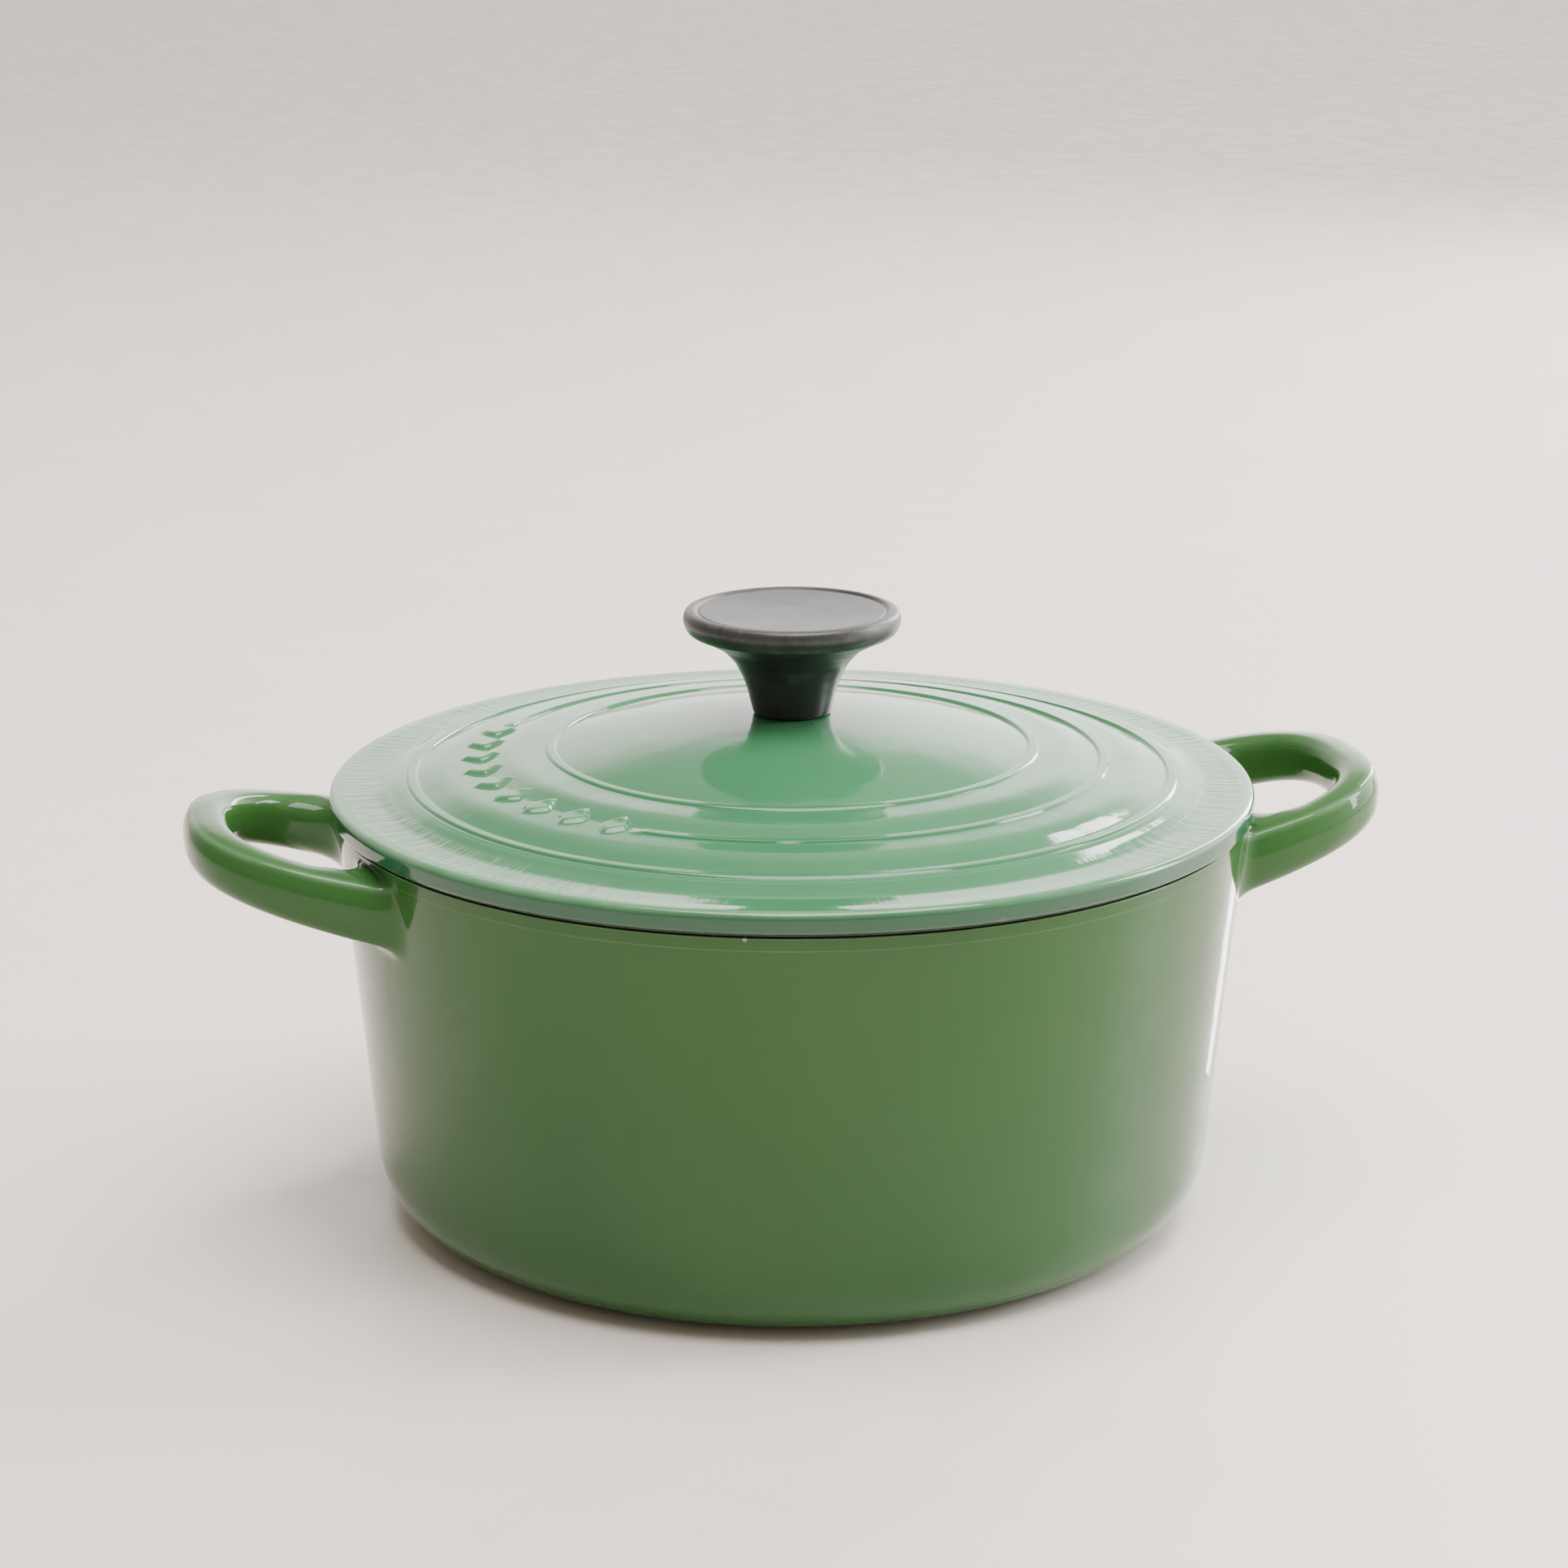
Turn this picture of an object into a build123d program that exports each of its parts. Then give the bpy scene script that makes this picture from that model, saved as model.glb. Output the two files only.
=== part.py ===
"""Round covered casserole dish in enamelled cast iron, 22 cm size, with its lid and screwed-on knob.

Frame: millimetres, origin at the centre of the flat base, +Z up, the two loop handles along X.
"""
from build123d import *
from math import cos, hypot, radians, sin, sqrt, tan
import os

os.makedirs("parts", exist_ok=True)

# ---- pot ----
RIM_RADIUS = 115.3  # outside radius at the rim
RIM_HEIGHT = 104.8  # plane in which pot and lid meet
WALL_TAPER = 5.4  # degrees from vertical, narrowing towards the base
BASE_CORNER = 24.6  # outside radius between wall and base
WALL = 3.5  # iron wall
FLOOR = 4.4  # iron floor
LINING = 0.5  # cream enamel
RIM_COAT = 0.4  # black ground coat on the mating faces
RIM_ROUNDING = 1.2
BELT = (78.0, 0.03)  # height where the outside wall changes taper slightly, and how far it stands out there

# ---- loop handles, cast with the pot ----
HANDLE_TIP = 153.7  # how far out the loop reaches from the pot's axis
HANDLE_HALF_WIDTH = 42.5
HANDLE_BAR = 11.3  # width of the bar, seen from above
HANDLE_CORNER = 36.0  # outside corner of the loop, seen from above
HANDLE_WEB = 10.0  # inside corner between the bar and the wall, seen from above
HANDLE_TOP = (102.3, 110.9)  # top of the bar at the wall and at the tip
HANDLE_BOTTOM = (86.4, 98.6)  # underside of the bar at the wall and at the tip
HANDLE_ROUNDING = 4.2  # long edges of the bar
HANDLE_ROOT_FILLET = 4.0  # where the bar runs into the wall

# ---- lid ----
LID_RADIUS = 117.0
LID_EDGE_BOTTOM = RIM_HEIGHT + 0.2
BAND_HEIGHT = 111.0  # top of the flat band round the edge
BAND_INSIDE = 103.5
EDGE_ROUNDING = 2.2
LID_TOP = 128.0  # under the knob
KNOB_SEAT = 10.6  # radius of the flat land under the knob, and of the one inside the lid
DOME_EDGE = 119.6  # height where the dome meets the first ring
RINGS = ((59.6, 119.6, 118.7), (77.5, 116.6, 115.5), (94.6, 113.0, 112.2))  # inside radius, height, next step
RING_WIDTH = 3.2
RING_HEIGHT = 0.35
STEP_WIDTH = 3.6  # soft step outside each ring
LID_THICKNESS = 3.8
UNDERSIDE_BREAK = 62.0  # the underside is domed inside this radius and conical outside it
SPIGOT = (104.8, 109.2)  # inside and outside radius of the locating ring
SPIGOT_BOTTOM = 100.8

# ---- knob and its fixing ----
KNOB_PROFILE = (  # radius and height along the neck and the underside of the disc, from the bottom up
    (9.8, 128.0), (10.5, 130.6), (11.4, 134.0), (12.6, 137.4), (14.4, 141.0), (17.6, 144.7), (23.6, 148.0),
)
KNOB_RADIUS = 27.6
KNOB_EDGE_HEIGHT = 151.9  # height of the widest point
KNOB_EDGE_ROUNDING = 2.8
KNOB_GROOVE = (23.6, 154.2)
KNOB_CENTRE = 153.5  # the top is slightly dished
INSERT_RADIUS = 5.5
INSERT_LENGTH = 14.0
SCREW_RADIUS = 3.0
THREAD_CLEARANCE = 0.05
LID_HOLE = 3.4
WASHER_RADIUS = 9.0
WASHER_THICKNESS = 1.0
SCREW_HEAD = (6.0, 3.2)  # radius and height
SCREW_SLOT = (1.4, 1.5)  # width and depth


def save(solid, name):
    """Write one sub-part to parts/NAME.step."""
    export_step(solid, f"parts/{name}.step")


def spin(*edges):
    """Solid of revolution about Z of a closed outline of edges, drawn as radius along X and height along Y."""
    return revolve(Plane.XZ * make_face(Wire(list(edges))), Axis.Z)


def ring(inside, outside, bottom, top):
    """Flat ring about Z."""
    height = top - bottom
    return Pos(0, 0, bottom + height / 2) * (Cylinder(outside, height) - Cylinder(inside, height))


def path(*points):
    """Straight edges through the points, as (radius, height)."""
    return [Edge.make_line((*a, 0), (*b, 0)) for a, b in zip(points, points[1:])]


def arc(start, middle, end):
    return Edge.make_three_point_arc((*start, 0), (*middle, 0), (*end, 0))


def axis_arc(start, end):
    """Arc between two points, centred on the axis of revolution."""
    (r0, z0), (r1, z1) = start, end
    centre = (r0**2 + z0**2 - r1**2 - z1**2) / (2 * (z0 - z1))
    across, along = r0 + r1, z0 + z1 - 2 * centre
    scale = hypot(r0, z0 - centre) / hypot(across, along)
    return arc(start, (across * scale, centre + along * scale), end)


def rounding(centre, radius, first, last):
    """Arc about a centre, from one angle to another in degrees."""
    def at(angle):
        return (centre[0] + radius * cos(radians(angle)), centre[1] + radius * sin(radians(angle)))
    return at(first), arc(at(first), at((first + last) / 2), at(last)), at(last)


def bowl(top_radius, top_height, floor, corner, belt=()):
    """Edges from the axis out along a floor and up a tapered wall, by way of any belt, and the wall's end point."""
    taper = radians(WALL_TAPER)
    middle = floor + corner
    centre = top_radius - (top_height - middle) * tan(taper) - corner / cos(taper)
    start, bend, end = rounding((centre, middle), corner, -90, -WALL_TAPER)
    top = (top_radius, top_height)
    between = [(top_radius - (top_height - height) * tan(taper) + out, height) for height, out in belt]
    return path((0, floor), start) + [bend] + path(end, *between, top), top


def web(wall_radius):
    """Flat shape that rounds the inside corner between a handle's bar and the wall."""
    inner_side = HANDLE_HALF_WIDTH - HANDLE_BAR
    across = inner_side - HANDLE_WEB
    along = sqrt((wall_radius + HANDLE_WEB) ** 2 - across**2)
    share = wall_radius / (wall_radius + HANDLE_WEB)
    touch = (along * share, across * share)
    outline = Polyline(
        (along, across), (along, inner_side + 1), (RIM_RADIUS - 15, inner_side + 1), (RIM_RADIUS - 15, touch[1]), touch,
        close=True,
    )
    return make_face(outline) - Pos(along, across) * Circle(HANDLE_WEB)


def handle():
    """Loop handle on the +X side: a rounded bar bent to a loop that rises towards its tip."""
    start = RIM_RADIUS - 18
    reach = HANDLE_TIP - start
    loop = Pos(start, 0) * Rectangle(2 * reach, 2 * HANDLE_HALF_WIDTH)
    hole = Pos(start, 0) * Rectangle(2 * (reach - HANDLE_BAR), 2 * (HANDLE_HALF_WIDTH - HANDLE_BAR))
    loop = fillet(loop.vertices(), HANDLE_CORNER)
    hole = fillet(hole.vertices(), HANDLE_CORNER - 1.25 * HANDLE_BAR)
    wall_radius = RIM_RADIUS - (RIM_HEIGHT - HANDLE_BOTTOM[0]) * tan(radians(WALL_TAPER))
    hole = hole - Circle(wall_radius) - web(wall_radius) - mirror(web(wall_radius), Plane.XZ)
    curb = extrude(loop - hole, RIM_HEIGHT * 1.2)
    inner = start + 1

    def height_at(x, heights):
        at_wall, at_tip = heights
        return at_wall + (at_tip - at_wall) * (x - RIM_RADIUS) / (HANDLE_TIP - RIM_RADIUS)

    side_view = Polyline(
        (inner, 0, height_at(inner, HANDLE_BOTTOM)), (HANDLE_TIP + 1, 0, height_at(HANDLE_TIP + 1, HANDLE_BOTTOM)),
        (HANDLE_TIP + 1, 0, height_at(HANDLE_TIP + 1, HANDLE_TOP)), (inner, 0, height_at(inner, HANDLE_TOP)),
        close=True,
    )
    band = extrude(make_face(side_view), 2 * HANDLE_HALF_WIDTH, both=True)
    solid = curb & band
    long_edges = [e for e in solid.edges() if e.center().X > inner + 1 and abs(e.tangent_at(0.5).Z) < 0.6]
    return fillet(long_edges, HANDLE_ROUNDING)


def root_edges(solid):
    """Edges where the handles' bars meet the tapered wall."""
    highest = RIM_HEIGHT - RIM_COAT - RIM_ROUNDING

    def gap(point):
        wall = RIM_RADIUS - (highest - point.Z) * tan(radians(WALL_TAPER))
        return abs(hypot(point.X, point.Y) - wall)

    return [
        e for e in solid.edges()
        if abs(e.center().X) > RIM_RADIUS / 2 and e.length < HANDLE_HALF_WIDTH
        and HANDLE_BOTTOM[0] - 10 < e.center().Z < highest
        and max(gap(e.position_at(0.1)), gap(e.position_at(0.5)), gap(e.position_at(0.9))) < 0.15
    ]


def pot():
    """Iron casting with its two handles, cream lining and black rim coat."""
    coat_bottom = RIM_HEIGHT - RIM_COAT
    outside, top = bowl(RIM_RADIUS, coat_bottom - RIM_ROUNDING, 0, BASE_CORNER, [BELT])
    lip_start, lip, lip_end = rounding((RIM_RADIUS - RIM_ROUNDING, top[1]), RIM_ROUNDING, 0, 90)
    blank = spin(*outside, lip, *path(lip_end, (0, coat_bottom), (0, 0)))
    blank = blank + handle() + mirror(handle(), Plane.YZ)
    blank = fillet(root_edges(blank), HANDLE_ROOT_FILLET)

    inside_radius = RIM_RADIUS - WALL
    inside, inside_top = bowl(inside_radius, coat_bottom, FLOOR, BASE_CORNER - WALL)
    cavity = spin(*inside, *path(inside_top, (0, coat_bottom), (0, FLOOR)))
    food_radius = inside_radius - LINING
    surface, surface_top = bowl(food_radius, coat_bottom, FLOOR + LINING, BASE_CORNER - WALL - LINING)
    food_space = spin(*surface, *path(surface_top, (0, coat_bottom), (0, FLOOR + LINING)))

    save(blank - cavity, "pot_casting")
    save(cavity - food_space, "pot_lining")
    save(ring(food_radius, lip_end[0], coat_bottom, RIM_HEIGHT), "pot_rim_coat")


def lid_top():
    """Outline of the lid's upper face from the axis outwards: dome, three ringed terraces, flat band and edge."""
    dome_end = (RINGS[0][0], DOME_EDGE)
    seat = (KNOB_SEAT, LID_TOP)
    edges = path((0, LID_TOP), seat) + [axis_arc(seat, dome_end)]
    here = dome_end
    for index, (radius, height, step) in enumerate(RINGS):
        outer = radius + RING_WIDTH
        crest = [(radius + RING_HEIGHT, height + RING_HEIGHT), (outer - RING_HEIGHT, height + RING_HEIGHT)]
        if index + 1 < len(RINGS):
            ends = [(outer, height), (outer + STEP_WIDTH, step)]
            following = RINGS[index + 1][:2]
        else:
            ends = [(outer, height), (outer + STEP_WIDTH / 2, step)]
            following = (BAND_INSIDE, BAND_HEIGHT + 0.1)
        edges += path(here, *crest, *ends, following)
        here = following
    rim_start, rim, rim_end = rounding(
        (LID_RADIUS - EDGE_ROUNDING, BAND_HEIGHT - EDGE_ROUNDING), EDGE_ROUNDING, 90, 0
    )
    chamfer = 0.8
    edges += path(here, rim_start) + [rim]
    corner = (LID_RADIUS - chamfer, LID_EDGE_BOTTOM)
    edges += path(rim_end, (LID_RADIUS, LID_EDGE_BOTTOM + chamfer), corner)
    return edges, corner


def lid_underside(depth):
    """Outline of the lid's lower face, from the seat inwards to the axis, a given depth above the finished face."""
    seat = RIM_HEIGHT + RIM_COAT
    ring_inside, ring_outside = SPIGOT
    cone_end = (ring_inside - 1.5, RINGS[-1][1] - LID_THICKNESS)
    break_point = (UNDERSIDE_BREAK, DOME_EDGE - LID_THICKNESS)
    centre = (0, LID_TOP - LID_THICKNESS)

    def raised(point):
        return (point[0], point[1] + depth)

    outline = path(
        (ring_outside - depth, seat), (ring_outside - depth, SPIGOT_BOTTOM + depth),
        (ring_inside + depth, SPIGOT_BOTTOM + depth), (ring_inside + depth, cone_end[1] - 1.5 + depth),
        raised(cone_end), raised(break_point),
    )
    land = (KNOB_SEAT, centre[1])
    outline.append(axis_arc(raised(break_point), raised(land)))
    outline += path(raised(land), raised(centre))
    return outline, (ring_outside - depth, seat), raised(centre)


def lid():
    """Iron lid, its cream lining and the black coat on its seat, all pierced for the knob's screw."""
    top, corner = lid_top()
    iron_under, iron_seat, iron_centre = lid_underside(LINING)
    food_under, food_seat, food_centre = lid_underside(0)
    seat = RIM_HEIGHT + RIM_COAT
    closing = path(corner, (corner[0], seat), iron_seat)
    hole = Pos(0, 0, LID_TOP) * Cylinder(LID_HOLE, 4 * LID_THICKNESS)
    casting = spin(*top, *closing, *iron_under, *path(iron_centre, (0, LID_TOP)))
    filled = spin(*path(iron_seat, food_seat), *food_under, *path(food_centre, iron_centre), *reversed(iron_under))
    save(casting - hole, "lid_casting")
    save(filled - hole, "lid_lining")
    save(ring(food_seat[0], corner[0] - 0.4, RIM_HEIGHT, seat), "lid_seat_coat")


def knob():
    """Phenolic knob on a flared neck, with its moulded-in threaded insert."""
    start = KNOB_PROFILE[0]
    flare = Edge.make_spline([(*p, 0) for p in KNOB_PROFILE])
    edge_centre = (KNOB_RADIUS - KNOB_EDGE_ROUNDING, KNOB_EDGE_HEIGHT)
    edge_start, edge, edge_end = rounding(edge_centre, KNOB_EDGE_ROUNDING, -75, 90)
    dish_start = (KNOB_GROOVE[0] - 0.6, KNOB_GROOVE[1] - 0.3)
    dish_centre = (0, KNOB_CENTRE)
    body = spin(
        flare, *path(KNOB_PROFILE[-1], edge_start), edge, *path(edge_end, KNOB_GROOVE, dish_start),
        axis_arc(dish_start, dish_centre), *path(dish_centre, (0, start[1]), start),
    )
    insert = Pos(0, 0, LID_TOP + INSERT_LENGTH / 2) * Cylinder(INSERT_RADIUS, INSERT_LENGTH)
    thread = Pos(0, 0, LID_TOP + INSERT_LENGTH / 2) * Cylinder(SCREW_RADIUS + THREAD_CLEARANCE, INSERT_LENGTH)
    save(body - insert, "knob")
    save(insert - thread, "knob_insert")


def fixing():
    """Washer and slotted screw that hold the knob from inside the lid."""
    under = LID_TOP - LID_THICKNESS
    washer = ring(LID_HOLE, WASHER_RADIUS, under - WASHER_THICKNESS, under)
    save(washer, "knob_washer")
    head_radius, head_height = SCREW_HEAD
    head_top = under - WASHER_THICKNESS
    length = LID_TOP + INSERT_LENGTH - 2 - head_top
    head = Pos(0, 0, head_top - head_height / 2) * Cylinder(head_radius, head_height)
    head = fillet(head.edges().group_by(Axis.Z)[0], head_height / 3)
    shank = Pos(0, 0, head_top + length / 2) * Cylinder(SCREW_RADIUS, length)
    width, depth = SCREW_SLOT
    slot = Pos(0, 0, head_top - head_height + depth / 2) * Box(width, 3 * head_radius, depth)
    save(head + shank - slot, "knob_screw")


pot()
lid()
knob()
fixing()
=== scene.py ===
"""Looks of a round covered casserole dish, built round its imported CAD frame.

Outlines are in millimetres, as radius and height about the pot's axis, and turn into metres in new_mesh().
"""
import math

import bmesh
import bpy
import numpy as np
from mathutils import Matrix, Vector, geometry


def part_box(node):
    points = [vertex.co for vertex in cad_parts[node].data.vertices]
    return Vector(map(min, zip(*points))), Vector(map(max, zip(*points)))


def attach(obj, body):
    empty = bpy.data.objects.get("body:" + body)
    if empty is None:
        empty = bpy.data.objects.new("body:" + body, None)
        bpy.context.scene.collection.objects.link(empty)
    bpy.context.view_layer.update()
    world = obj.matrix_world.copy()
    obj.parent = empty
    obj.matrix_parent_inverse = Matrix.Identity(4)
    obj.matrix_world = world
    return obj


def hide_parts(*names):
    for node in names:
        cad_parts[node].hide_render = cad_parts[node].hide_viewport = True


MM = 0.001
TAU = 2 * math.pi

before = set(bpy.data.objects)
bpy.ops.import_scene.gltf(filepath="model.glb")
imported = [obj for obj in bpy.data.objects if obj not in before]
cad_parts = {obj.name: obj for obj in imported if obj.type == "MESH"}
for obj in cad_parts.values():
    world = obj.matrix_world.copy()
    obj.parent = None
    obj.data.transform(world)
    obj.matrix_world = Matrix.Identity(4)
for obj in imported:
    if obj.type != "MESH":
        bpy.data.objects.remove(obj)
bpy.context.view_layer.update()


def corners_mm(node):
    """Lowest and highest corner of a CAD node, in millimetres."""
    low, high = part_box(node)
    return low / MM, high / MM


# ---- sizes, from the frame where it has them ----
HANDLE_TIP = corners_mm("pot_casting")[1].x
RIM_RADIUS = corners_mm("pot_casting")[1].y
RIM_HEIGHT = corners_mm("pot_rim_coat")[1].z
COAT_BOTTOM = corners_mm("pot_rim_coat")[0].z
COAT_RADIUS = corners_mm("pot_rim_coat")[1].y
CAVITY_RADIUS = corners_mm("pot_lining")[1].y
LINING_FLOOR = corners_mm("pot_lining")[0].z
LID_RADIUS = corners_mm("lid_casting")[1].y
LID_TOP = corners_mm("lid_casting")[1].z
LID_CENTRE_UNDER = corners_mm("lid_lining")[1].z
SEAT_TOP = corners_mm("lid_seat_coat")[1].z
SEAT_RADIUS = corners_mm("lid_seat_coat")[1].y
SPIGOT_BOTTOM = corners_mm("lid_lining")[0].z
SPIGOT_RADIUS = corners_mm("lid_lining")[1].y
KNOB_RADIUS = corners_mm("knob")[1].y
KNOB_BOTTOM = corners_mm("knob")[0].z
KNOB_TOP = corners_mm("knob")[1].z

WALL_TAPER = math.radians(5.4)
BASE_CORNER = 24.6  # outside rounding between wall and base
LINING = 0.5
RIM_ROUNDING = 1.2
WINDOW_TOP = COAT_BOTTOM - 0.75  # the handles' roots stay below this height on the wall
WINDOW_BOTTOM = 74.0  # and above this one
WALL_HEIGHTS = (40.0, COAT_BOTTOM - RIM_ROUNDING - 2, WINDOW_TOP)
WALL_RADII = (
    RIM_RADIUS - 0.15 - (WALL_HEIGHTS[1] - WALL_HEIGHTS[0]) * math.tan(WALL_TAPER), RIM_RADIUS - 0.15,
    RIM_RADIUS - 0.05,
)
POT_SEGMENTS = 480
HANDLE_SIDES = 88
LIP_PLACE = 0.98  # where the handle's lip is, as an angle round the bar's section in radians


# ---- outlines and meshes ----
def rounded(points, arc_points=7, run_step=2.5):
    """A dense outline through corner points (radius, height, rounding), with how convex each place is, 0 to 1.

    The outline runs anticlockwise, so that the material is on its left.
    """
    points = np.array(points, float)
    result = []

    def add(point, convex):
        result.append((point[0], point[1], convex))

    def run_to(point):
        last = np.array(result[-1][:2])
        length = np.linalg.norm(point - last)
        for k in range(1, int(length // run_step)):
            add(last + (point - last) * k * run_step / length, 0.0)

    add(points[0][:2], 0.0)
    for before, here, after in zip(points, points[1:], points[2:]):
        into, out = here[:2] - before[:2], after[:2] - here[:2]
        len_in, len_out = np.linalg.norm(into), np.linalg.norm(out)
        into, out = into / len_in, out / len_out
        turn = math.atan2(into[0] * out[1] - into[1] * out[0], into @ out)
        reach = min(here[2] * abs(math.tan(turn / 2)), 0.47 * len_in, 0.47 * len_out)
        if reach < 1e-4:
            run_to(here[:2])
            add(here[:2], 0.0)
            continue
        start, end = here[:2] - into * reach, here[:2] + out * reach
        run_to(start)
        sharp = min(1.0, abs(turn) * 1.2 / reach) if turn > 0 else 0.0
        for k in range(arc_points + 1):
            t = k / arc_points
            point = (1 - t) ** 2 * start + 2 * t * (1 - t) * here[:2] + t * t * end
            add(point, sharp * math.sin(math.pi * t) ** 0.5 if sharp else 0.0)
    run_to(points[-1][:2])
    add(points[-1][:2], 0.0)
    return np.array(result)


def new_mesh(name, vertices, faces, edge, smooth_angle=38):
    """Mesh object from millimetre points, with face normals outwards and how worn each point is."""
    mesh = bpy.data.meshes.new(name)
    mesh.from_pydata((np.asarray(vertices) * MM).tolist(), [], faces)
    layer = mesh.attributes.new("edge_wear", "FLOAT", "POINT")
    layer.data.foreach_set("value", np.asarray(edge, np.float32))
    shell = bmesh.new()
    shell.from_mesh(mesh)
    bmesh.ops.recalc_face_normals(shell, faces=shell.faces)
    shell.to_mesh(mesh)
    shell.free()
    mesh.shade_smooth()
    mesh.set_sharp_from_angle(angle=math.radians(smooth_angle))
    piece = bpy.data.objects.new(name, mesh)
    bpy.context.scene.collection.objects.link(piece)
    return piece


def lathe(name, outline, segments, shift=None):
    """Solid of revolution of an outline, open at the axis or closed as a ring.

    shift(radius, height, angle, row) gives what to add to the radius and height of each point.
    """
    angles = np.arange(segments) * TAU / segments
    on_axis = outline[:, 0] < 1e-6
    is_ring = not on_axis.any()
    vertices, rows, edge = [], [], []
    for index, (radius, height, convex) in enumerate(outline):
        if on_axis[index]:
            rows.append(np.full(segments, len(vertices)))
            vertices.append((0.0, 0.0, height))
            edge.append(convex)
            continue
        radii, heights = np.full(segments, radius), np.full(segments, height)
        if shift is not None:
            add_radius, add_height = shift(radius, height, angles, index)
            radii, heights = radii + add_radius, heights + add_height
        rows.append(np.arange(segments) + len(vertices))
        vertices += list(zip(radii * np.cos(angles), radii * np.sin(angles), heights))
        edge += [convex] * segments
    faces = []
    pairs = list(zip(rows, rows[1:])) + ([(rows[-1], rows[0])] if is_ring else [])
    for low, high in pairs:
        for k in range(segments):
            j = (k + 1) % segments
            corners = [int(low[k]), int(low[j]), int(high[j]), int(high[k])]
            face = list(dict.fromkeys(corners))
            if len(face) > 2:
                faces.append(face)
    return new_mesh(name, vertices, faces, edge)


def ripple(seed, waves, lowest=3):
    """A smooth closed wave round the circle, about -1 to 1, made of seeded sines."""
    random = np.random.RandomState(seed)
    orders = lowest + np.cumsum(random.randint(1, 7, waves))
    phases = random.uniform(0, TAU, waves)
    sizes = random.uniform(0.3, 1.0, waves) / (1 + np.arange(waves)) ** 0.35

    def wave(angle):
        total = sum(s * np.sin(n * angle + p) for n, p, s in zip(orders, phases, sizes))
        return total / sizes.sum()

    return wave


def smoothstep(low, high, value):
    t = np.clip((value - low) / (high - low), 0, 1)
    return t * t * (3 - 2 * t)


# ---- pot ----
def foot_of(top_radius, top_height, floor):
    """Radius and height where a tapered wall would meet a flat floor."""
    return top_radius - (top_height - floor) * math.tan(WALL_TAPER), floor


def pot_outline():
    """Outside of the pot with its rounded lip, closed inside against the lining."""
    foot = foot_of(RIM_RADIUS, COAT_BOTTOM - RIM_ROUNDING, 0)
    inner_foot = foot_of(CAVITY_RADIUS, COAT_BOTTOM, LINING_FLOOR)
    recess_edge, recess = 66, 0.45
    return rounded([
        (0, recess, 0), (recess_edge, recess, 1.5), (recess_edge + 1.5, 0, 1.5), (*foot, BASE_CORNER),
        (RIM_RADIUS - 0.15, COAT_BOTTOM - RIM_ROUNDING - 2, 6), (RIM_RADIUS - 0.05, WINDOW_TOP, 0),
        (RIM_RADIUS, COAT_BOTTOM - 0.1, 0.9), (COAT_RADIUS - 0.8, COAT_BOTTOM, 0.3),
        (CAVITY_RADIUS, COAT_BOTTOM, 0), (*inner_foot, BASE_CORNER - 4), (0, LINING_FLOOR, 0),
    ], arc_points=12)


def superpower(value, exponent):
    return np.sign(value) * np.abs(value) ** exponent


def on_wall(point):
    """The point moved straight out or in to the pot's outside wall."""
    scale = np.interp(point[2], WALL_HEIGHTS, WALL_RADII) / math.hypot(point[0], point[1])
    return np.array([point[0] * scale, point[1] * scale, point[2]])


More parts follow.
